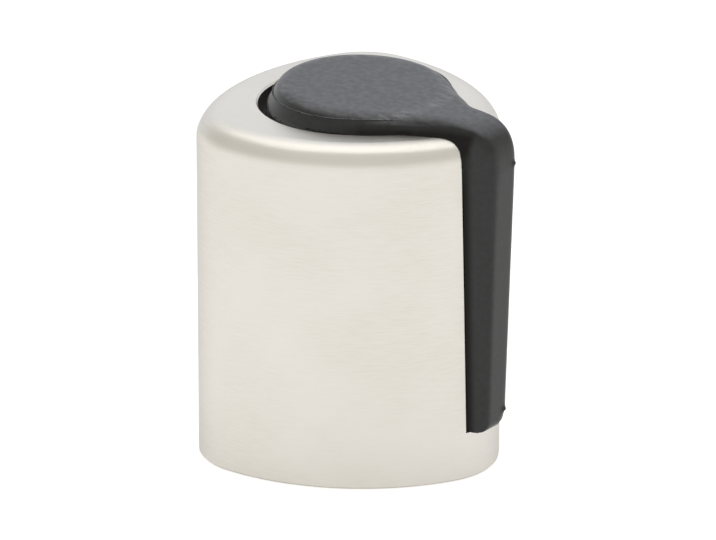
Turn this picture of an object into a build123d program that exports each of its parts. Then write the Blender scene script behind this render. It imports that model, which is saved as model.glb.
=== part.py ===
from build123d import *
import os
from math import atan2, cos, degrees, radians, sin, sqrt, tan

# Floor door stop: a heavy cast housing, three-sided with bowed sides, that one screw holds to the
# floor, and a rubber buffer moulded in one piece. The buffer's pad closes the screw well, its neck
# crosses the shoulder and its strap is pressed into a dovetail slot down the nose, where the door
# lands.
# Millimetres. The origin is the middle of the base, +X points along the nose and +Z is up.

# Housing outline: three equal bowed sides that meet in rounded corners, one of them the nose.
height = 50.0
side_radius = 30.6          # bow of each side
sharp_corner_reach = 23.5   # from the middle to where two sides would cross
corner_radius = 10.6
shoulder_radius = 3.2       # round between the wall and the top
base_edge_break = 0.3

# Screw well: a recess for the pad, a narrower well below it and the hole through the base web.
recess_radius = 13.2
recess_depth = 12.0
recess_edge_break = 0.25
well_radius = 9.0
web_thickness = 8.0
screw_hole_radius = 2.75
countersink_radius = 5.2
countersink_depth = 2.6

# Pad of the buffer. Its top falls a little towards the nose.
pad_shift = 1.75            # the pad sits this far towards the nose
pad_foot_radius = 13.3      # where its sloping side meets the level of the housing's top
pad_side_inset = 1.75       # its side leans in by this much
pad_rise = 2.8              # above the housing's top, over the middle
top_fall = 2.05             # degrees
pad_edge_radius = 2.0       # a broad round where the pad's side turns into its top
strap_edge_radius = 0.7     # the neck and the strap have a sharper one
crest_shares = (0, 0.66, 0.76, 0.85, 0.915, 0.965, 1)   # of the rise, to draw those rounds

# Plug of the buffer: a free collar under the pad, then a skirt that seats in the recess.
collar_height = 4.0
skirt_wall = 3.4
pad_thickness = 4.0

# Neck and strap. Widths are half widths, at the outer face and at the housing's surface.
top_root_share = 2.05       # round where the neck leaves the pad, over the neck's free length
foot_root_share = 1.35      # and along its foot
neck_outer_half = 3.15
neck_foot_less = 0.25       # its foot is narrower than the strap's, each side, where it bends
neck_flare = 0.45           # and widens by this much per millimetre towards the pad
bend_radius = 6.0           # outer face over the shoulder
bend_core = 1.0             # the bend's sections start this far from its centre, in the metal
joint_step = 0.03           # the bend starts this far inside the neck's end, all round
foot_drop = 0.6             # the neck's foot follows the shoulder down this far
strap_top_proud = 3.28      # outer face from the nose, at the top of the strap
strap_foot_proud = 2.08     # and at its lower end
strap_top_outer_half = 2.45
strap_top_foot_half = 4.3
strap_end_outer_half = 2.1
strap_end_foot_half = 3.4
strap_end_height = 7.0      # lower end above the floor
strap_end_round = 1.4       # where the outer face turns under at the lower end
slot_depth = 4.0            # behind the nose
slot_flare = 0.45           # the slot is this much wider at its back, each side
channel_depth = 3.0         # below the top, where the neck crosses the land
nib_radius = 0.3            # moulding nibs left on one edge of the strap
nib_height = 0.3
nib_from_end = 2.6          # one nib this far above the strap's lower end
nib_from_bend = 0.35        # and one this far below the bend

# Running fits.
seat_clearance = 0.08       # rubber to metal, each side

# Worked out from the above.
inner_reach = sharp_corner_reach / 2
half_chord = sharp_corner_reach * sqrt(3) / 2
side_centre_shift = sqrt(side_radius**2 - half_chord**2) - inner_reach
fillet_centre = -side_centre_shift / 2 + sqrt(
    (side_radius - corner_radius) ** 2 - 0.75 * side_centre_shift**2
)
nose_reach = fillet_centre + corner_radius
recess_floor = height - recess_depth
slot_back = nose_reach - slot_depth
bend_x = nose_reach + strap_top_proud - bend_radius
bend_start = 90 - top_fall
neck_foot_half = strap_top_foot_half - neck_foot_less
neck_length = bend_x - pad_shift - pad_foot_radius
neck_end_top = height + pad_rise - bend_x * tan(radians(top_fall))
neck_lean = (neck_foot_half - neck_outer_half) / (neck_end_top - height)
apron_half = neck_foot_half + foot_drop * neck_lean
bend_z = neck_end_top - bend_radius / cos(radians(top_fall))


def nose_surface(half_width):
    """How far out the nose is at this distance from its axis."""
    return fillet_centre + sqrt(corner_radius**2 - half_width**2)


def housing_blank():
    """The casting before anything is cored out of it."""
    plan = None
    for turn in (60, 180, 300):
        away = radians(turn + 180)
        centre = (side_centre_shift * cos(away), side_centre_shift * sin(away))
        circle = Pos(*centre) * Circle(side_radius)
        plan = circle if plan is None else plan & circle
    plan = fillet(plan.vertices(), corner_radius)
    blank = extrude(plan, height)
    blank = fillet(blank.faces().sort_by(Axis.Z)[-1].edges(), shoulder_radius)
    return chamfer(blank.faces().sort_by(Axis.Z)[0].edges(), base_edge_break)


def screw_well():
    """Everything that the core takes out of the middle, turned about the upright axis."""
    web = web_thickness
    outline = Polyline(
        (0, height + 1),
        (recess_radius + recess_edge_break + 1, height + 1),
        (recess_radius, height - recess_edge_break),
        (recess_radius, recess_floor),
        (well_radius, recess_floor),
        (well_radius, web),
        (countersink_radius, web),
        (screw_hole_radius, web - countersink_depth),
        (screw_hole_radius, -1),
        (0, -1),
        close=True,
    )
    return revolve(Plane.XZ * make_face(outline), Axis.Z)


def lean_at(share, lean, rise, edge_radius):
    """How far a leaning, round-edged side has come in at a share of its rise."""
    turn = atan2(rise, lean)
    centre_in = lean + edge_radius * tan(turn / 2)
    above_centre = share * rise - (rise - edge_radius)
    arc_starts = edge_radius * cos(turn)
    if above_centre < arc_starts:
        return share * lean
    return centre_in - sqrt(max(0, edge_radius**2 - above_centre**2))


def strap_section(plane, back, foot, outer, back_half, foot_half, outer_half):
    """A section on a plane whose x is outwards: from the back to the foot, then leaning in."""
    side = [(back, back_half)]
    for share in crest_shares:
        lean = lean_at(share, foot_half - outer_half, outer - foot, strap_edge_radius)
        side.append((foot + share * (outer - foot), foot_half - lean))
    far_side = [(x, -y) for x, y in reversed(side)]
    return plane * make_face(Polyline(*side, *far_side, close=True))


def wall_sizes(at_height):
    """Reach and half width of the strap's outer face at one height, then those of its foot."""
    share = (at_height - strap_end_height) / (bend_z - strap_end_height)
    outer = nose_reach + strap_foot_proud + share * (strap_top_proud - strap_foot_proud)
    outer_half = strap_end_outer_half + share * (strap_top_outer_half - strap_end_outer_half)
    foot_half = strap_end_foot_half + share * (strap_top_foot_half - strap_end_foot_half)
    return outer, outer_half, nose_surface(foot_half), foot_half


def wall_section(at_height, clearance=0.0):
    """The dovetail at one height of the wall, from the back of the slot to the outer face."""
    outer, outer_half, foot, foot_half = wall_sizes(at_height)
    halves = [half + clearance for half in (foot_half + slot_flare, foot_half, outer_half)]
    plane = Plane(origin=(0, 0, at_height), x_dir=(1, 0, 0), z_dir=(0, 0, 1))
    return strap_section(plane, slot_back, foot, outer, *halves)


def bend_plane(turn):
    """A plane through the middle of the bend, at this angle up from level."""
    across = (cos(radians(turn)), 0, sin(radians(turn)))
    along = (-sin(radians(turn)), 0, cos(radians(turn)))
    return Plane(origin=(bend_x, 0, bend_z), x_dir=across, z_dir=along)


def bend_section(share):
    """The strap's section part of the way from the top of the wall to the end of the neck."""
    wall_foot = nose_surface(strap_top_foot_half) - bend_x
    neck_foot = height - foot_drop - bend_z
    foot = wall_foot + share**1.5 * (neck_foot - wall_foot)
    step = share * joint_step
    half = strap_top_foot_half + share * (apron_half - strap_top_foot_half) - step
    outer_half = strap_top_outer_half + share * (neck_outer_half - strap_top_outer_half) - step
    plane = bend_plane(share * bend_start)
    return strap_section(plane, bend_core, foot, bend_radius - step, half, half, outer_half)


def strap_in_wall(clearance=0.0):
    """The upright part of the strap, dovetail and all."""
    lower = wall_section(strap_end_height - clearance, clearance)
    upper = wall_section(bend_z, clearance)
    return loft([lower, upper], ruled=True)


def seat_in_casting(blank, clearance=0.0):
    """What the strap and the neck fill in the casting: the dovetail slot and the channel."""
    across = 2 * (neck_foot_half + clearance)
    mouth_height = height - bend_z
    mouth = Box(slot_depth, across, mouth_height, align=(Align.MIN, Align.CENTER, Align.MIN))
    groove = (strap_in_wall(clearance) + Pos(slot_back, 0, bend_z) * mouth) & blank
    channel = Pos(bend_x / 2, 0, height - channel_depth / 2) * Box(bend_x, across, channel_depth)
    return groove + channel


def pad_plan(share):
    """Outline of the pad and its neck at a share of their rise."""
    pad_radius = pad_foot_radius - lean_at(share, pad_side_inset, pad_rise, pad_edge_radius)
    neck_rise = neck_end_top - height
    neck_inset = neck_foot_half - neck_outer_half
    end_half = neck_foot_half - lean_at(share, neck_inset, neck_rise, strap_edge_radius)
    start = pad_shift + pad_radius / 2
    start_half = end_half + (1 - share) * neck_flare * (bend_x - start)
    neck = Polyline(
        (start, -start_half),
        (bend_x, -end_half),
        (nose_reach, -end_half),
        (nose_reach, end_half),
        (bend_x, end_half),
        (start, start_half),
        close=True,
    )
    plan = Pos(pad_shift, 0) * Circle(pad_radius) + make_face(neck)
    roots = plan.vertices().sort_by(Axis.X)[:2]
    root_share = foot_root_share + share * (top_root_share - foot_root_share)
    plane = Plane((0, 0, height + share * pad_rise)).rotated((0, share * top_fall, 0))
    return plane * fillet(roots, root_share * neck_length)


def pad_and_neck():
    """The pad and its neck, up to where the strap bends down."""
    body = loft([pad_plan(share) for share in crest_shares], ruled=True)
    return split(body, bend_plane(bend_start), keep=Keep.TOP)


def neck_apron():
    """What the neck's foot adds below the level of the housing's top, where the shoulder falls."""
    start = pad_shift + pad_foot_radius + neck_length / 3
    plans = []
    for at_height, end_half in ((height, neck_foot_half), (height - foot_drop, apron_half)):
        start_half = end_half + neck_flare * (bend_x - start)
        plan = Polyline(
            (start, -start_half),
            (bend_x, -end_half),
            (nose_reach, -end_half),
            (nose_reach, end_half),
            (bend_x, end_half),
            (start, start_half),
            close=True,
        )
        plans.append(Plane(origin=(0, 0, at_height)) * make_face(plan))
    return split(loft(plans, ruled=True), bend_plane(bend_start), keep=Keep.TOP)


def lower_end_round():
    """What the round at the strap's lower end takes off the outer face."""
    centre_z = strap_end_height + strap_end_round
    centre_x = wall_sizes(centre_z)[0] - strap_end_round
    across = 4 * strap_end_foot_half
    rod = Pos(centre_x, 0, centre_z) * Rot(90, 0, 0) * Cylinder(strap_end_round, across)
    side = 2 * strap_end_round
    block = Pos(centre_x + side / 2, 0, centre_z - side / 2) * Box(side, across, side)
    return block - rod


def moulding_nibs():
    """Two small pegs left on the strap's far edge, where it is roundest."""
    nibs = []
    for at_height in (strap_end_height + nib_from_end, bend_z - nib_from_bend):
        outer, outer_half, foot, foot_half = wall_sizes(at_height)
        turn = atan2(outer - foot, foot_half - outer_half)
        centre_half = outer_half - strap_edge_radius * tan(turn / 2)
        centre = Pos(outer - strap_edge_radius, centre_half, at_height)
        length = strap_edge_radius + nib_height
        peg = Cylinder(nib_radius, length, align=(Align.CENTER, Align.CENTER, Align.MIN))
        nibs.append(centre * Rot(0, 90, degrees(turn) / 2) * peg)
    return nibs


def rubber_buffer(blank):
    """Pad, neck, strap, collar and skirt, moulded in one."""
    bend = loft([bend_section(share) for share in (1, 0.75, 0.5, 0.25, 0)])
    body = pad_and_neck() + (neck_apron() - blank) + (bend - blank) + strap_in_wall()
    fitting_radius = recess_radius - seat_clearance
    fitting_cylinder = Pos(0, 0, recess_floor) * Cylinder(
        fitting_radius, recess_depth, align=(Align.CENTER, Align.CENTER, Align.MIN)
    )
    foot_cylinder = Pos(pad_shift, 0, height - collar_height) * Cylinder(
        pad_foot_radius, collar_height, align=(Align.CENTER, Align.CENTER, Align.MIN)
    )
    skirt = split(fitting_cylinder, Plane.XY.offset(height - collar_height), keep=Keep.BOTTOM)
    collar = foot_cylinder & fitting_cylinder
    hollow = Pos(0, 0, recess_floor) * Cylinder(
        fitting_radius - skirt_wall,
        recess_depth + pad_rise - pad_thickness,
        align=(Align.CENTER, Align.CENTER, Align.MIN),
    )
    body = body + seat_in_casting(blank) + collar + skirt - hollow - lower_end_round()
    for nib in moulding_nibs():
        body = body + nib
    return body


blank = housing_blank()
housing = blank - screw_well() - seat_in_casting(blank, seat_clearance)
buffer = rubber_buffer(blank)
os.makedirs("parts", exist_ok=True)
export_step(housing, "parts/housing.step")
export_step(buffer, "parts/rubber_buffer.step")
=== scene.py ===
from math import exp, radians

import bpy
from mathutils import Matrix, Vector


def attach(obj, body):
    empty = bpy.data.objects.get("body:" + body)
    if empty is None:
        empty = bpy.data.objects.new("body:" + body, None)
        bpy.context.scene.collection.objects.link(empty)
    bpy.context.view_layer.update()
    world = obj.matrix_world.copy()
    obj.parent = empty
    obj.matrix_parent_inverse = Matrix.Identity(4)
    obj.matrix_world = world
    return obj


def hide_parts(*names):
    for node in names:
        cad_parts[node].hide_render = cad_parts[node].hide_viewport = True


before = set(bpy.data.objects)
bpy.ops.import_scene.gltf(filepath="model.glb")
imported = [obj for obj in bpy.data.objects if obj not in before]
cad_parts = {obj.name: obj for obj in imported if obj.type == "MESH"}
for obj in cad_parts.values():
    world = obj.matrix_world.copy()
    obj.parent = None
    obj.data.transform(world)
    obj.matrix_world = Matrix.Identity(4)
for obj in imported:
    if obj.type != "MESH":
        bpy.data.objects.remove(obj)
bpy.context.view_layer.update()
mm = 0.001
print("frame loaded")


def hexToLinear(code):   # sRGB hex to the linear colour that the shaders want
    channels = []
    for start in (0, 2, 4):
        value = int(code[start:start + 2], 16) / 255
        channels.append(value / 12.92 if value <= 0.04045 else ((value + 0.055) / 1.055) ** 2.4)
    return (*channels, 1.0)


def addNode(tree, kind, settings=None, inputs=None):
    # Inputs go by name or number: a Mix node's A and B are 2 and 3, or 6 and 7 for colours.
    node = tree.nodes.new(kind)
    for name, value in (settings or {}).items():
        setattr(node, name, value)
    for name, value in (inputs or {}).items():
        if isinstance(value, bpy.types.NodeSocket):
            tree.links.new(value, node.inputs[name])
        else:
            node.inputs[name].default_value = value
    return node


def newMaterial(name):
    material = bpy.data.materials.new(name)
    material.use_nodes = True
    material.node_tree.nodes.clear()
    return material


def pickAlone(piece):   # an operator acts on all that is selected
    bpy.ops.object.select_all(action="DESELECT")
    piece.select_set(True)
    bpy.context.view_layer.objects.active = piece


def selectWhere(piece, kind, wanted):   # by place, in millimetres; leaves the piece in edit mode
    bpy.ops.object.mode_set(mode="EDIT")
    bpy.ops.mesh.select_mode(type=kind)
    bpy.ops.mesh.select_all(action="DESELECT")
    bpy.ops.object.mode_set(mode="OBJECT")
    if kind == "VERT":
        for vertex in piece.data.vertices:
            vertex.select = wanted(*(vertex.co / mm))
    else:
        for face in piece.data.polygons:
            face.select = wanted(*(face.center / mm))
    bpy.ops.object.mode_set(mode="EDIT")


def asShare(value):   # held between nought and one
    return min(1, max(0, value))


# Camera, where the photograph was taken from. Places are in millimetres.
cameraSet = {
    "place": (563.9, -757.3, 400.8),
    "aim": (-4.86, 7.61, 21.27),
    "lens": 367.0,
    "sensor": 36.0,
    "clipEnd": 20,          # metres
    "away": (-0.5962, 0.8028),    # over the floor, from the camera to the back of the studio
    "left": (-0.8028, -0.5962),   # over the floor, to the photograph's left
}

camera = bpy.data.cameras.new("photoCamera")
camera.lens = cameraSet["lens"]
camera.sensor_width = cameraSet["sensor"]
camera.clip_end = cameraSet["clipEnd"]
cameraObject = bpy.data.objects.new("photoCamera", camera)
bpy.context.collection.objects.link(cameraObject)
cameraPlace = Vector(cameraSet["place"]) * mm
cameraObject.location = cameraPlace
aim = Vector(cameraSet["aim"]) * mm
cameraObject.rotation_euler = (aim - cameraPlace).to_track_quat("-Z", "Y").to_euler()
bpy.context.scene.camera = cameraObject
print("camera placed")

# Satin nickel plate on the casting, a soft and warm grey shine with fine straight lines in it:
# brushed level along the walls, and along the nose on top.
nickelSet = {
    "colour": "EAE6E0",
    "streakColour": "E4E0D8",
    "streakFrom": 0.42,     # of the brushing's noise
    "streakTo": 0.72,
    "cloudColour": "EDEAE5",
    "cloudFrom": 0.4,       # of the clouds' noise
    "cloudTo": 0.65,
    "cloudShare": 0.7,
    "cloudSize": 14.0,      # millimetres: slow change of tone from hand polishing
    "cloudDetail": 2.0,
    "topFrom": 0.75,        # of the way that a face looks up: here the top's brushing begins
    "topFull": 0.97,
    "brushLength": 2.6,     # millimetres along the brushing
    "brushWidth": 0.17,     # the real lines are too fine to show, so they are drawn this coarse
    "brushDetail": 3.0,
    "brushBreakUp": 0.65,
    "brushDepth": 0.0006,   # millimetres
    "brushedGloss": 0.25,   # anisotropy
    "smoothest": 0.28,      # roughness, from smoothestAt to roughestAt of the brushing's noise
    "roughest": 0.36,
    "smoothestAt": 0.3,
    "roughestAt": 0.7,
    "topRougher": 0.10,     # the top is left a little more matt
    "wavinessSize": 7.0,    # millimetres, as the depth is
    "wavinessDepth": 0.004,
    "wavinessDetail": 1.0,
    "edgeTint": "E4E4E6",   # plate seen edge-on
}

satinNickel = newMaterial("satinNickelPlateBrushedLevel")
tree = satinNickel.node_tree
place = addNode(tree, "ShaderNodeTexCoord")
alongBrush = 1 / (nickelSet["brushLength"] * mm)
acrossBrush = 1 / (nickelSet["brushWidth"] * mm)
alongWall = addNode(tree, "ShaderNodeMapping", inputs={
    "Vector": place.outputs["Object"], "Scale": (alongBrush, alongBrush, acrossBrush)})
alongNose = addNode(tree, "ShaderNodeMapping", inputs={
    "Vector": place.outputs["Object"], "Scale": (alongBrush, acrossBrush, acrossBrush)})
facing = addNode(tree, "ShaderNodeSeparateXYZ", inputs={"Vector": place.outputs["Normal"]})
onTop = addNode(tree, "ShaderNodeMapRange", inputs={
    "Value": facing.outputs["Z"],
    "From Min": nickelSet["topFrom"], "From Max": nickelSet["topFull"]})
wallBrush = addNode(tree, "ShaderNodeTexNoise", inputs={
    "Vector": alongWall.outputs[0], "Scale": 1.0,
    "Detail": nickelSet["brushDetail"], "Roughness": nickelSet["brushBreakUp"]})
topBrush = addNode(tree, "ShaderNodeTexNoise", inputs={
    "Vector": alongNose.outputs[0], "Scale": 1.0,
    "Detail": nickelSet["brushDetail"], "Roughness": nickelSet["brushBreakUp"]})
brush = addNode(tree, "ShaderNodeMix", {"data_type": "FLOAT"}, {
    "Factor": onTop.outputs[0], 2: wallBrush.outputs["Fac"], 3: topBrush.outputs["Fac"]})
cloud = addNode(tree, "ShaderNodeTexNoise", inputs={
    "Vector": place.outputs["Object"], "Scale": 1 / (nickelSet["cloudSize"] * mm),
    "Detail": nickelSet["cloudDetail"]})
streak = addNode(tree, "ShaderNodeMapRange", inputs={
    "Value": brush.outputs[0],
    "From Min": nickelSet["streakFrom"], "From Max": nickelSet["streakTo"]})
streaked = addNode(tree, "ShaderNodeMix", {"data_type": "RGBA"}, {
    "Factor": streak.outputs[0],
    6: hexToLinear(nickelSet["colour"]), 7: hexToLinear(nickelSet["streakColour"])})
cloudy = addNode(tree, "ShaderNodeMapRange", inputs={
    "Value": cloud.outputs["Fac"], "From Min": nickelSet["cloudFrom"],
    "From Max": nickelSet["cloudTo"], "To Max": nickelSet["cloudShare"]})
clouded = addNode(tree, "ShaderNodeMix", {"data_type": "RGBA"}, {
    "Factor": cloudy.outputs[0],
    6: streaked.outputs[2], 7: hexToLinear(nickelSet["cloudColour"])})
brushGloss = addNode(tree, "ShaderNodeMapRange", inputs={
    "Value": brush.outputs[0],
    "From Min": nickelSet["smoothestAt"], "From Max": nickelSet["roughestAt"],
    "To Min": nickelSet["smoothest"], "To Max": nickelSet["roughest"]})
plateGloss = addNode(tree, "ShaderNodeMath", {"operation": "MULTIPLY_ADD"}, {
    0: onTop.outputs[0], 1: nickelSet["topRougher"], 2: brushGloss.outputs[0]})
waves = addNode(tree, "ShaderNodeTexNoise", inputs={
    "Vector": place.outputs["Object"], "Scale": 1 / (nickelSet["wavinessSize"] * mm),
    "Detail": nickelSet["wavinessDetail"]})
wavy = addNode(tree, "ShaderNodeBump", inputs={
    "Height": waves.outputs["Fac"], "Distance": nickelSet["wavinessDepth"] * mm})
brushed = addNode(tree, "ShaderNodeBump", inputs={
    "Height": brush.outputs[0], "Distance": nickelSet["brushDepth"] * mm,
    "Normal": wavy.outputs[0]})
level = addNode(tree, "ShaderNodeTangent", {"direction_type": "RADIAL", "axis": "Z"})
plate = addNode(tree, "ShaderNodeBsdfPrincipled", inputs={
    "Base Color": clouded.outputs[2], "Metallic": 1.0, "Roughness": plateGloss.outputs[0],
    "Specular Tint": hexToLinear(nickelSet["edgeTint"]),
    "Anisotropic": nickelSet["brushedGloss"], "Tangent": level.outputs[0],
    "Normal": brushed.outputs[0]})
addNode(tree, "ShaderNodeOutputMaterial", inputs={"Surface": plate.outputs[0]})

# Black rubber as it left the mould: slightly glossy at the sides, matt on top with dust bloom and
# painted top light, scuffed pale round the pad's rim, painted shade where it meets the casting.
rubberSet = {
    "dark": "161719",
    "light": "222326",
    "mottleSize": 0.9,      # millimetres
    "mottleDetail": 4.0,
    "mottleBreakUp": 0.6,
    "mottleFrom": 0.35,     # of its noise
    "mottleTo": 0.68,
    "mottleGloss": 0.25,
    "ior": 1.5,
    "sideGloss": 0.30,      # roughness
    "topGloss": 0.50,
    "shine": 0.5,
    "grainSize": 0.35,      # millimetres; the real grain is too fine to show, so it is coarser
    "grainDetail": 2.0,
    "grainDepth": 0.012,    # millimetres
    "topFrom": 0.62,        # of the way that a face looks up: here the dust bloom and painted top light begin
    "topFull": 0.95,
    # pale top colour: part dust bloom, part painted light from above
    "dustAndTopLightDark": "494A4F",
    "dustAndTopLightPale": "5C5D64",
    "dustAndTopLightFrom": 0.38,      # of the mottling's noise
    "dustAndTopLightTo": 0.64,
    "sheen": 0.10,
    "sheenRoughness": 0.5,
    "sheenTint": "E6EAF2",
    "scuff": "7A7B80",
    "scuffLength": 1.8,     # millimetres, as are all places and lengths below
    "scuffWidth": 0.7,
    "scuffTurn": 35,        # degrees
    "scuffDetail": 3.0,
    "scuffFrom": 0.42,      # of its noise
    "scuffTo": 0.72,
    "padMiddle": 1.75,      # along the nose
    "rimFrom": 9.8,         # from the pad's middle
    "rimTo": 11.8,
    "rimEnd": 13.6,
    # painted shade where the rubber meets the casting: a darker colour and less shine
    "paintedShade": "0F0D0B",
    "paintedShadeShine": 0.20,
    "paintedShadeTop": 51.5,       # height that it fades out at
    "paintedShadeFoot": 50.4,
    "noseMiddle": 11.99,    # of the nose's round, along the nose
    "noseWall": 10.7,       # from that middle, and so is the next
    "paintedShadeEnd": 11.7,
    "neckFrom": 3.0,        # along the nose: none of it round the pad, all of it by the neck
    "neckTo": 10.0,
    "neckEnd": 18.5,
    "neckFade": 2,
}

rubber = newMaterial("mouldedBlackRubberWithDustAndPaintedTopLight")
tree = rubber.node_tree
place = addNode(tree, "ShaderNodeTexCoord")
mottle = addNode(tree, "ShaderNodeTexNoise", inputs={
    "Vector": place.outputs["Object"], "Scale": 1 / (rubberSet["mottleSize"] * mm),
    "Detail": rubberSet["mottleDetail"], "Roughness": rubberSet["mottleBreakUp"]})
grain = addNode(tree, "ShaderNodeTexNoise", inputs={
    "Vector": place.outputs["Object"], "Scale": 1 / (rubberSet["grainSize"] * mm),
    "Detail": rubberSet["grainDetail"]})
patches = addNode(tree, "ShaderNodeMapRange", inputs={
    "Value": mottle.outputs["Fac"],
    "From Min": rubberSet["mottleFrom"], "From Max": rubberSet["mottleTo"]})
mottled = addNode(tree, "ShaderNodeMix", {"data_type": "RGBA"}, {
    "Factor": patches.outputs[0],
    6: hexToLinear(rubberSet["dark"]), 7: hexToLinear(rubberSet["light"])})
facing = addNode(tree, "ShaderNodeSeparateXYZ", inputs={"Vector": place.outputs["Normal"]})
upwards = addNode(tree, "ShaderNodeMapRange", inputs={
    "Value": facing.outputs["Z"],
    "From Min": rubberSet["topFrom"], "From Max": rubberSet["topFull"]})
# Faces that look up get a paler colour: a dust bloom, and painted light on the top.
dustAndTopLightPatches = addNode(tree, "ShaderNodeMapRange", inputs={
    "Value": mottle.outputs["Fac"],
    "From Min": rubberSet["dustAndTopLightFrom"], "From Max": rubberSet["dustAndTopLightTo"]})
dustAndTopLight = addNode(tree, "ShaderNodeMix", {"data_type": "RGBA"}, {
    "Factor": dustAndTopLightPatches.outputs[0],
    6: hexToLinear(rubberSet["dustAndTopLightDark"]), 7: hexToLinear(rubberSet["dustAndTopLightPale"])})
dustedAndTopLit = addNode(tree, "ShaderNodeMix", {"data_type": "RGBA"}, {
    "Factor": upwards.outputs[0], 6: mottled.outputs[2], 7: dustAndTopLight.outputs[2]})

# Scuffs, in a ring round the pad's rim. A scale of nought leaves the height out of a distance.
fromPad = addNode(tree, "ShaderNodeMapping", inputs={
    "Vector": place.outputs["Object"], "Location": (-rubberSet["padMiddle"] * mm, 0, 0),
    "Scale": (1, 1, 0)})
padReach = addNode(tree, "ShaderNodeVectorMath", {"operation": "LENGTH"}, {
    0: fromPad.outputs[0]})
nearRim = addNode(tree, "ShaderNodeMapRange", {"interpolation_type": "SMOOTHSTEP"}, {
    "Value": padReach.outputs["Value"], "From Min": rubberSet["rimFrom"] * mm,
    "From Max": rubberSet["rimTo"] * mm})
offRim = addNode(tree, "ShaderNodeMapRange", {"interpolation_type": "SMOOTHSTEP"}, {
    "Value": padReach.outputs["Value"], "From Min": rubberSet["rimEnd"] * mm,
    "From Max": rubberSet["rimTo"] * mm})
rim = addNode(tree, "ShaderNodeMath", {"operation": "MULTIPLY"}, {
    0: nearRim.outputs[0], 1: offRim.outputs[0]})
alongScuff = 1 / (rubberSet["scuffLength"] * mm)
acrossScuff = 1 / (rubberSet["scuffWidth"] * mm)
turned = addNode(tree, "ShaderNodeMapping", inputs={
    "Vector": place.outputs["Object"], "Rotation": (0, 0, radians(rubberSet["scuffTurn"])),
    "Scale": (alongScuff, acrossScuff, acrossScuff)})
strokes = addNode(tree, "ShaderNodeTexNoise", inputs={
    "Vector": turned.outputs[0], "Scale": 1.0, "Detail": rubberSet["scuffDetail"]})
strokeMarks = addNode(tree, "ShaderNodeMapRange", inputs={
    "Value": strokes.outputs["Fac"],
    "From Min": rubberSet["scuffFrom"], "From Max": rubberSet["scuffTo"]})
worn = addNode(tree, "ShaderNodeMath", {"operation": "MULTIPLY"}, {
    0: rim.outputs[0], 1: strokeMarks.outputs[0]})
wornOnTop = addNode(tree, "ShaderNodeMath", {"operation": "MULTIPLY"}, {
    0: worn.outputs[0], 1: upwards.outputs[0]})
scuffed = addNode(tree, "ShaderNodeMix", {"data_type": "RGBA"}, {
    "Factor": wornOnTop.outputs[0],
    6: dustedAndTopLit.outputs[2], 7: hexToLinear(rubberSet["scuff"])})

# Painted shade, brown-black and less shiny, low down along the strap and beside the neck.
spot = addNode(tree, "ShaderNodeSeparateXYZ", inputs={"Vector": place.outputs["Object"]})
lowDown = addNode(tree, "ShaderNodeMapRange", inputs={
    "Value": spot.outputs["Z"], "From Min": rubberSet["paintedShadeTop"] * mm,
    "From Max": rubberSet["paintedShadeFoot"] * mm})
fromMiddle = addNode(tree, "ShaderNodeMapping", inputs={
    "Vector": place.outputs["Object"], "Location": (-rubberSet["noseMiddle"] * mm, 0, 0),
    "Scale": (1, 1, 0)})
fromNose = addNode(tree, "ShaderNodeVectorMath", {"operation": "LENGTH"}, {
    0: fromMiddle.outputs[0]})
byStrap = addNode(tree, "ShaderNodeMapRange", {"interpolation_type": "SMOOTHSTEP"}, {
    "Value": fromNose.outputs["Value"], "From Min": rubberSet["paintedShadeEnd"] * mm,
    "From Max": rubberSet["noseWall"] * mm})
offPad = addNode(tree, "ShaderNodeMapRange", inputs={
    "Value": spot.outputs["X"], "From Min": rubberSet["neckFrom"] * mm,
    "From Max": rubberSet["neckTo"] * mm})
beforeBend = addNode(tree, "ShaderNodeMapRange", inputs={
    "Value": spot.outputs["X"], "From Min": rubberSet["neckEnd"] * mm,
    "From Max": (rubberSet["neckEnd"] - rubberSet["neckFade"]) * mm})
byNeck = addNode(tree, "ShaderNodeMath", {"operation": "MULTIPLY"}, {
    0: offPad.outputs[0], 1: beforeBend.outputs[0]})
along = addNode(tree, "ShaderNodeMath", {"operation": "MAXIMUM"}, {
    0: byStrap.outputs[0], 1: byNeck.outputs[0]})
paintedShade = addNode(tree, "ShaderNodeMath", {"operation": "MULTIPLY"}, {
    0: lowDown.outputs[0], 1: along.outputs[0]})
paintedShaded = addNode(tree, "ShaderNodeMix", {"data_type": "RGBA"}, {
    "Factor": paintedShade.outputs[0],
    6: scuffed.outputs[2], 7: hexToLinear(rubberSet["paintedShade"])})
# less shine in the painted shade
shine = addNode(tree, "ShaderNodeMapRange", inputs={
    "Value": paintedShade.outputs[0],
    "To Min": rubberSet["shine"], "To Max": rubberSet["paintedShadeShine"]})

patchGloss = addNode(tree, "ShaderNodeMapRange", inputs={
    "Value": mottle.outputs["Fac"], "From Min": rubberSet["mottleFrom"],
    "From Max": rubberSet["mottleTo"], "To Max": rubberSet["mottleGloss"]})
mattShare = addNode(tree, "ShaderNodeMath", {"operation": "ADD"}, {
    0: upwards.outputs[0], 1: patchGloss.outputs[0]})
skinGloss = addNode(tree, "ShaderNodeMapRange", inputs={
    "Value": mattShare.outputs[0],
    "To Min": rubberSet["sideGloss"], "To Max": rubberSet["topGloss"]})
grained = addNode(tree, "ShaderNodeBump", inputs={
    "Height": grain.outputs["Fac"], "Distance": rubberSet["grainDepth"] * mm})
skin = addNode(tree, "ShaderNodeBsdfPrincipled", inputs={
    "Base Color": paintedShaded.outputs[2], "Roughness": skinGloss.outputs[0],
    "IOR": rubberSet["ior"], "Specular IOR Level": shine.outputs[0],
    "Sheen Weight": rubberSet["sheen"], "Sheen Roughness": rubberSet["sheenRoughness"],
    "Sheen Tint": hexToLinear(rubberSet["sheenTint"]), "Normal": grained.outputs[0]})
addNode(tree, "ShaderNodeOutputMaterial", inputs={"Surface": skin.outputs[0]})

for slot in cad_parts["housing"].material_slots:
    slot.material = satinNickel
print("materials made")

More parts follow.
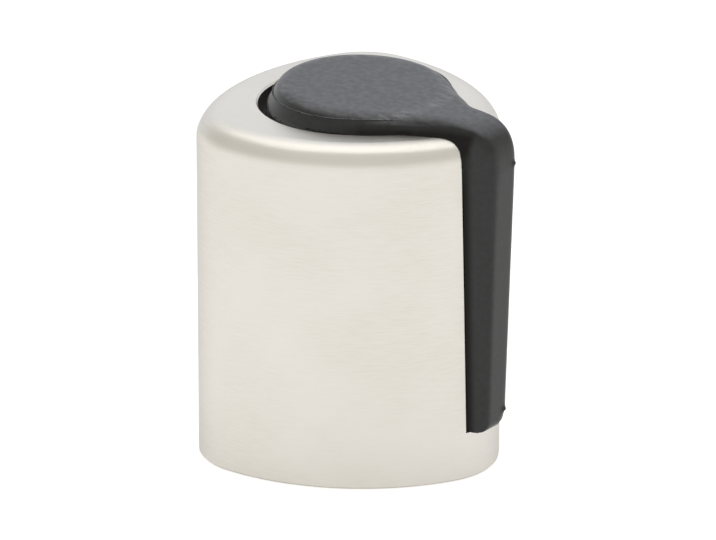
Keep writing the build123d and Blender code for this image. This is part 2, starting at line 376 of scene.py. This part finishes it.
# The rubber buffer: a merged copy of its node, softened as a moulding is and given what the mould
# leaves on the real one. Millimetres: x runs along the nose, y across it and z is the height.
bufferSet = {
    "weld": 0.05,
    "meshSize": 0.18,
    "smoothing": 0.5,

    "noseMiddle": 11.99,    # x of the middle of the nose's round
    "bendMiddle": (19.87, 46.08),   # x and z of the line that the bend turns about

    "clearOfMiddle": 3.4,   # what stands clear of the casting: this far from the bend's middle,
    "strapFoot": 7.4,       # above this on the strap,
    "padFoot": 50.25,       # and above this on the pad and the neck
    "edgePasses": 7,

    "bendFrom": 17.5,       # x
    "softFrom": 4.55,       # from the bend's middle: its outer edges are rounder than the strap's
    "nearUpTo": 0.8,        # y between the side near the camera and the far one
    "nearPasses": ((36.5, 4), (39.5, 7), (42, 12), (44, 20), (45.5, 26)),   # from this height up
    "farPasses": ((45.5, 8),),

    "nibHeight": 45.73,     # the upper nib, which the bend's softening leaves alone
    "nibHalf": 0.45,
    "nibBeyond": 1.4,       # y
    "nibUp": 0.35,          # it sits a little higher than the solid's
    "nibUpFrom": (24.5, 1.2),   # x and y
    "nibUpReach": 0.7,

    "cornerFrom": (23.2, 0.9),   # x and y of the strap's far lower corner, which is round
    "cornerTop": 9.4,
    "cornerPasses": 90,

    "plugTop": 49.4,        # the plug and the strap's foot, which the casting hides
    "plugEnd": 19,          # x
    "slotFrom": 18.8,       # x
    "slotTop": 46,
    "slotReach": 10.3,      # from the nose's middle
    "hiddenShare": 0.16,    # what stays of their mesh

    "padOff": 0.8,          # the pad sits this far towards the back of the photograph
    "padOffAbove": 49.9,
    "padOffFrom": 17.0,     # fading along the neck
    "padOffTo": 6.0,

    "rootPush": 1.0,        # the neck's roots stand out at the top, so that their sides are steep
    "rootWay": (0.486, 0.875),   # towards the nose and outwards
    "rootSpan": (5, 23),    # x
    "rootAt": 13.8,         # x
    "rootReach": 3.2,
    "rootFoot": 50.1,
    "rootRise": 1.1,
    "rootInner": 1.5,       # y
    "rootFade": 2.5,

    "fuller": 0.32,         # the bend is fuller halfway round than an arc
    "fullFrom": 3.6,        # from the bend's middle
    "fullFade": 1.5,

    "noseWall": 10.6,       # from the nose's middle
    "rollReach": 0.5,       # from the wall
    "rollEnd": 2.5,         # times that reach
    "rollFrom": 15.5,       # x
    "rollInner": 1,         # y
    "rollFoot": 6.5,
    "rollTop": 49.4,
    "rollIn": 0.22,         # the strap's foot rolls in at the slot's mouth
    "rollInTop": 45.8,
    "rollInFade": 3,
    "rollOver": 0.20,       # and lies a little over the metal's edge at the shoulder
    "rollOverFoot": 45.9,
    "rollOverRise": 0.35,
    "rollOverFade": 1.4,

    "seamHeight": 51.6,     # fine parting line round the pad's side
    "seamFall": -1.2,       # degrees that it falls towards the nose: below nought it rises
    "seamHalfWidth": 0.15,
    "seamProud": 0.19,
    "seamEnd": 13.0,        # x, where the neck begins
    "seamFade": 5.0,
    "seamLowest": 49.8,
    "seamHighest": 52.4,
    "seamInner": 9,         # from the screw hole's middle
    "seamCatch": 0.003,
    "seamWeld": 1e-8,       # metres
}

buffer = bpy.data.objects.new("bufferMoulding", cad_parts["rubber_buffer"].data.copy())
bpy.context.collection.objects.link(buffer)
pickAlone(buffer)
bpy.ops.object.mode_set(mode="EDIT")
bpy.ops.mesh.select_all(action="SELECT")
bpy.ops.mesh.remove_doubles(threshold=bufferSet["weld"] * mm)
bpy.ops.object.mode_set(mode="OBJECT")
even = buffer.modifiers.new("evenMesh", "REMESH")
even.mode = "VOXEL"
even.voxel_size = bufferSet["meshSize"] * mm
bpy.ops.object.modifier_apply(modifier=even.name)
print("buffer meshed:", len(buffer.data.vertices), "vertices")


def noseReach(x, y):   # from the middle of the nose's round
    return Vector((x - bufferSet["noseMiddle"], y)).length


def bendReach(x, z):   # from the line that the bend turns about
    middleX, middleZ = bufferSet["bendMiddle"]
    return Vector((max(0, x - middleX), max(0, z - middleZ))).length


def outside(x, y, z):   # what stands clear of the casting
    if x > bufferSet["bendMiddle"][0]:
        return bendReach(x, z) > bufferSet["clearOfMiddle"] and z > bufferSet["strapFoot"]
    return z > bufferSet["padFoot"]


def onBend(x, y, z, lowest, near):   # round the bend and down to where the strap's own edges start
    onNib = abs(z - bufferSet["nibHeight"]) < bufferSet["nibHalf"] and y > bufferSet["nibBeyond"]
    soft = x > bufferSet["bendFrom"] and z > lowest and bendReach(x, z) > bufferSet["softFrom"]
    return soft and (y < bufferSet["nearUpTo"]) == near and not onNib


def farLowerCorner(x, y, z):
    fromX, fromY = bufferSet["cornerFrom"]
    return x > fromX and y > fromY and z < bufferSet["cornerTop"]


def hidden(x, y, z):
    inRecess = z < bufferSet["plugTop"] and x < bufferSet["plugEnd"]
    beforeSlot = x > bufferSet["slotFrom"] and z < bufferSet["slotTop"]
    return inRecess or (beforeSlot and noseReach(x, y) < bufferSet["slotReach"])


def soften(passes):
    bpy.ops.mesh.vertices_smooth(factor=bufferSet["smoothing"], repeat=passes)


selectWhere(buffer, "VERT", outside)
soften(bufferSet["edgePasses"])
for near, steps in ((True, bufferSet["nearPasses"]), (False, bufferSet["farPasses"])):
    for lowest, passes in steps:
        selectWhere(buffer, "VERT", lambda x, y, z: onBend(x, y, z, lowest, near))
        soften(passes)
selectWhere(buffer, "VERT", farLowerCorner)
soften(bufferSet["cornerPasses"])
selectWhere(buffer, "VERT", hidden)
bpy.ops.mesh.decimate(ratio=bufferSet["hiddenShare"])
bpy.ops.object.mode_set(mode="OBJECT")
print("buffer softened")

# The pad goes back, the neck's roots go outwards, the bend is filled and the nib lifted.
away = Vector((*cameraSet["away"], 0))
rootX, rootY = bufferSet["rootWay"]
for vertex in buffer.data.vertices:
    if vertex.co.z > bufferSet["padOffAbove"] * mm:
        share = asShare((bufferSet["padOffFrom"] - vertex.co.x / mm) / (
            bufferSet["padOffFrom"] - bufferSet["padOffTo"]))
        vertex.co += away * bufferSet["padOff"] * mm * share * share * (3 - 2 * share)
    x, y, z = vertex.co / mm

    atRoot = z > bufferSet["rootFoot"] and abs(y) > bufferSet["rootInner"]
    if atRoot and bufferSet["rootSpan"][0] < x < bufferSet["rootSpan"][1]:
        fromRoot = (x - bufferSet["rootAt"]) / bufferSet["rootReach"]
        push = bufferSet["rootPush"] * exp(-fromRoot * fromRoot)
        push *= (asShare((z - bufferSet["rootFoot"]) / bufferSet["rootRise"])
                 * asShare((abs(y) - bufferSet["rootInner"]) / bufferSet["rootFade"]))
        vertex.co += Vector((rootX, rootY if y > 0 else -rootY, 0)) * push * mm

    outX, outZ = x - bufferSet["bendMiddle"][0], z - bufferSet["bendMiddle"][1]
    reach = Vector((outX, outZ)).length
    if outX > 0 and outZ > 0 and reach > bufferSet["fullFrom"]:
        halfway = 2 * outX * outZ / (reach * reach)   # nought at both ends of the bend
        push = bufferSet["fuller"] * halfway * halfway
        push *= asShare((reach - bufferSet["fullFrom"]) / bufferSet["fullFade"])
        vertex.co += Vector((outX, 0, outZ)).normalized() * push * mm

    if x > bufferSet["nibUpFrom"][0] and y > bufferSet["nibUpFrom"][1]:
        fromNib = (z - bufferSet["nibHeight"]) / bufferSet["nibUpReach"]
        vertex.co.z += bufferSet["nibUp"] * exp(-fromNib * fromNib) * mm
print("pad, neck, bend and nib set")

# Along the nose's wall the strap's sides go inwards low down and outwards at the shoulder.
for vertex in buffer.data.vertices:
    x, y, z = vertex.co / mm
    if x > bufferSet["rollFrom"] and bufferSet["rollFoot"] < z < bufferSet["rollTop"]:
        share = (noseReach(x, y) - bufferSet["noseWall"]) / bufferSet["rollReach"]
        if abs(share) < bufferSet["rollEnd"] and abs(y) > bufferSet["rollInner"]:
            lower = asShare((bufferSet["rollInTop"] - z) / bufferSet["rollInFade"])
            over = (asShare((z - bufferSet["rollOverFoot"]) / bufferSet["rollOverRise"])
                    * asShare((bufferSet["rollTop"] - z) / bufferSet["rollOverFade"]))
            inwards = bufferSet["rollIn"] * lower - bufferSet["rollOver"] * over
            inwards *= exp(-share * share)
            vertex.co.y -= inwards * mm * (1 if y > 0 else -1)
print("foot rolled in")

seamNormal = Vector((radians(bufferSet["seamFall"]), 0, 1)).normalized()


def besideSeam(x, y, z):
    onSide = bufferSet["seamLowest"] < z < bufferSet["seamHighest"]
    outward = Vector((x, y)).length > bufferSet["seamInner"]
    return onSide and x < bufferSet["seamEnd"] and outward


for step in (-1, 1, 0):   # both feet of the line, then its ridge
    selectWhere(buffer, "FACE", besideSeam)
    atHeight = (bufferSet["seamHeight"] + step * bufferSet["seamHalfWidth"]) * mm
    bpy.ops.mesh.bisect(plane_co=(0, 0, atHeight), plane_no=seamNormal,
                        threshold=bufferSet["seamWeld"])
bpy.ops.object.mode_set(mode="OBJECT")
for vertex in buffer.data.vertices:
    x, y, z = vertex.co / mm
    aside = Vector((x, y, z - bufferSet["seamHeight"])).dot(seamNormal)
    if besideSeam(x, y, z) and abs(aside) < bufferSet["seamCatch"]:
        fade = asShare((bufferSet["seamEnd"] - x) / bufferSet["seamFade"])
        vertex.co += vertex.normal * bufferSet["seamProud"] * fade * mm
bpy.ops.object.shade_smooth()
print("parting line raised:", len(buffer.data.polygons), "faces")

buffer.data.materials.clear()
buffer.data.materials.append(rubber)
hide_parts("rubber_buffer")
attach(buffer, "root")
print("buffer made")

# Floor and world. The back of the studio is bright and its front is dimmer.
studioSet = {
    "floorHalf": 4000,
    "floorPaper": "E8E8E6",
    "paperSeen": "E8E8E8",
    "paperLift": 0.54,
    "liftInMetal": 0.56,    # of that lift, for what is reflected
    "frontColour": "FFFDF6",
    "frontLow": 0.92,       # strength at the horizon
    "front": 0.70,          # and from frontHigh up
    "frontHigh": 0.35,      # sine of about 20 degrees
    "backColour": "F8FBFF",
    "back": 1.0,
    "backFrom": 0.35,       # of the way that a ray goes towards the back
    "backFull": 0.92,
    "leftShare": 0.92,      # the left is this much of the rest
    "leftFrom": 0.35,
    "leftFull": 0.8,
}

bpy.ops.object.select_all(action="DESELECT")
bpy.ops.mesh.primitive_plane_add(size=2 * studioSet["floorHalf"] * mm, location=(0, 0, 0))
floor = bpy.context.object
floor.name = "studioFloor"
paperFloor = newMaterial("whitePaperFloor")
tree = paperFloor.node_tree
lightPath = addNode(tree, "ShaderNodeLightPath")
seen = addNode(tree, "ShaderNodeMath", {"operation": "ADD", "use_clamp": True}, {
    0: lightPath.outputs["Is Camera Ray"], 1: lightPath.outputs["Is Glossy Ray"]})
paper = addNode(tree, "ShaderNodeMix", {"data_type": "RGBA"}, {
    "Factor": seen.outputs[0],
    6: hexToLinear(studioSet["floorPaper"]), 7: hexToLinear(studioSet["paperSeen"])})
matt = addNode(tree, "ShaderNodeBsdfDiffuse", inputs={"Color": paper.outputs[2]})
# The paper gives off a little light of its own, to the camera and, less of it, to reflections.
whiter = addNode(tree, "ShaderNodeMath", {"operation": "MULTIPLY_ADD"}, {
    0: lightPath.outputs["Is Glossy Ray"], 1: studioSet["liftInMetal"],
    2: lightPath.outputs["Is Camera Ray"]})
liftStrength = addNode(tree, "ShaderNodeMath", {"operation": "MULTIPLY"}, {
    0: whiter.outputs[0], 1: studioSet["paperLift"]})
lift = addNode(tree, "ShaderNodeEmission", inputs={"Strength": liftStrength.outputs[0]})
lit = addNode(tree, "ShaderNodeAddShader", inputs={0: matt.outputs[0], 1: lift.outputs[0]})
addNode(tree, "ShaderNodeOutputMaterial", inputs={"Surface": lit.outputs[0]})
floor.data.materials.append(paperFloor)
print("floor laid")

world = bpy.data.worlds.new("softStudio")
bpy.context.scene.world = world
world.use_nodes = True
tree = world.node_tree
tree.nodes.clear()
direction = addNode(tree, "ShaderNodeTexCoord")
towardsBack = addNode(tree, "ShaderNodeVectorMath", {"operation": "DOT_PRODUCT"}, {
    0: direction.outputs["Generated"], 1: (*cameraSet["away"], 0)})
backShare = addNode(tree, "ShaderNodeMapRange", {"interpolation_type": "SMOOTHSTEP"}, {
    "Value": towardsBack.outputs["Value"],
    "From Min": studioSet["backFrom"], "From Max": studioSet["backFull"]})
heading = addNode(tree, "ShaderNodeSeparateXYZ", inputs={
    "Vector": direction.outputs["Generated"]})
frontStrength = addNode(tree, "ShaderNodeMapRange", {"interpolation_type": "SMOOTHSTEP"}, {
    "Value": heading.outputs["Z"], "From Max": studioSet["frontHigh"],
    "To Min": studioSet["frontLow"], "To Max": studioSet["front"]})
roomStrength = addNode(tree, "ShaderNodeMapRange", inputs={
    "Value": backShare.outputs[0],
    "To Min": frontStrength.outputs[0], "To Max": studioSet["back"]})
towardsLeft = addNode(tree, "ShaderNodeVectorMath", {"operation": "DOT_PRODUCT"}, {
    0: direction.outputs["Generated"], 1: (*cameraSet["left"], 0)})
leftDimmer = addNode(tree, "ShaderNodeMapRange", {"interpolation_type": "SMOOTHSTEP"}, {
    "Value": towardsLeft.outputs["Value"],
    "From Min": studioSet["leftFrom"], "From Max": studioSet["leftFull"],
    "To Min": 1.0, "To Max": studioSet["leftShare"]})
strength = addNode(tree, "ShaderNodeMath", {"operation": "MULTIPLY"}, {
    0: roomStrength.outputs[0], 1: leftDimmer.outputs[0]})
tint = addNode(tree, "ShaderNodeMix", {"data_type": "RGBA"}, {
    "Factor": backShare.outputs[0],
    6: hexToLinear(studioSet["frontColour"]), 7: hexToLinear(studioSet["backColour"])})
# The camera sees plain white, also through glass; what lights the object is the studio.
lightPath = addNode(tree, "ShaderNodeLightPath")
seen = addNode(tree, "ShaderNodeMath", {"operation": "ADD", "use_clamp": True}, {
    0: lightPath.outputs["Is Camera Ray"], 1: lightPath.outputs["Is Transmission Ray"]})
studioAir = addNode(tree, "ShaderNodeBackground", inputs={
    "Color": tint.outputs[2], "Strength": strength.outputs[0]})
whiteAir = addNode(tree, "ShaderNodeBackground", inputs={"Color": (1, 1, 1, 1), "Strength": 1.0})
air = addNode(tree, "ShaderNodeMixShader", inputs={
    0: seen.outputs[0], 1: studioAir.outputs[0], 2: whiteAir.outputs[0]})
addNode(tree, "ShaderNodeOutputWorld", inputs={"Surface": air.outputs[0]})
print("world lit")

# A wide softbox hangs level over the object and a little behind it.
softboxSet = {
    "place": (-85, 190, 880),   # millimetres
    "wide": 1000,
    "deep": 720,
    "power": 1.5,           # watts
    "turn": 36.6,           # degrees, which sets its width across the camera's view
}

softbox = bpy.data.lights.new("overheadSoftbox", "AREA")
softbox.shape = "RECTANGLE"
softbox.size = softboxSet["wide"] * mm
softbox.size_y = softboxSet["deep"] * mm
softbox.energy = softboxSet["power"]
softboxObject = bpy.data.objects.new("overheadSoftbox", softbox)
bpy.context.collection.objects.link(softboxObject)
softboxObject.location = Vector(softboxSet["place"]) * mm
softboxObject.rotation_euler = (0, 0, radians(softboxSet["turn"]))
print("softbox hung")

scene = bpy.context.scene
scene.view_settings.view_transform = "Standard"
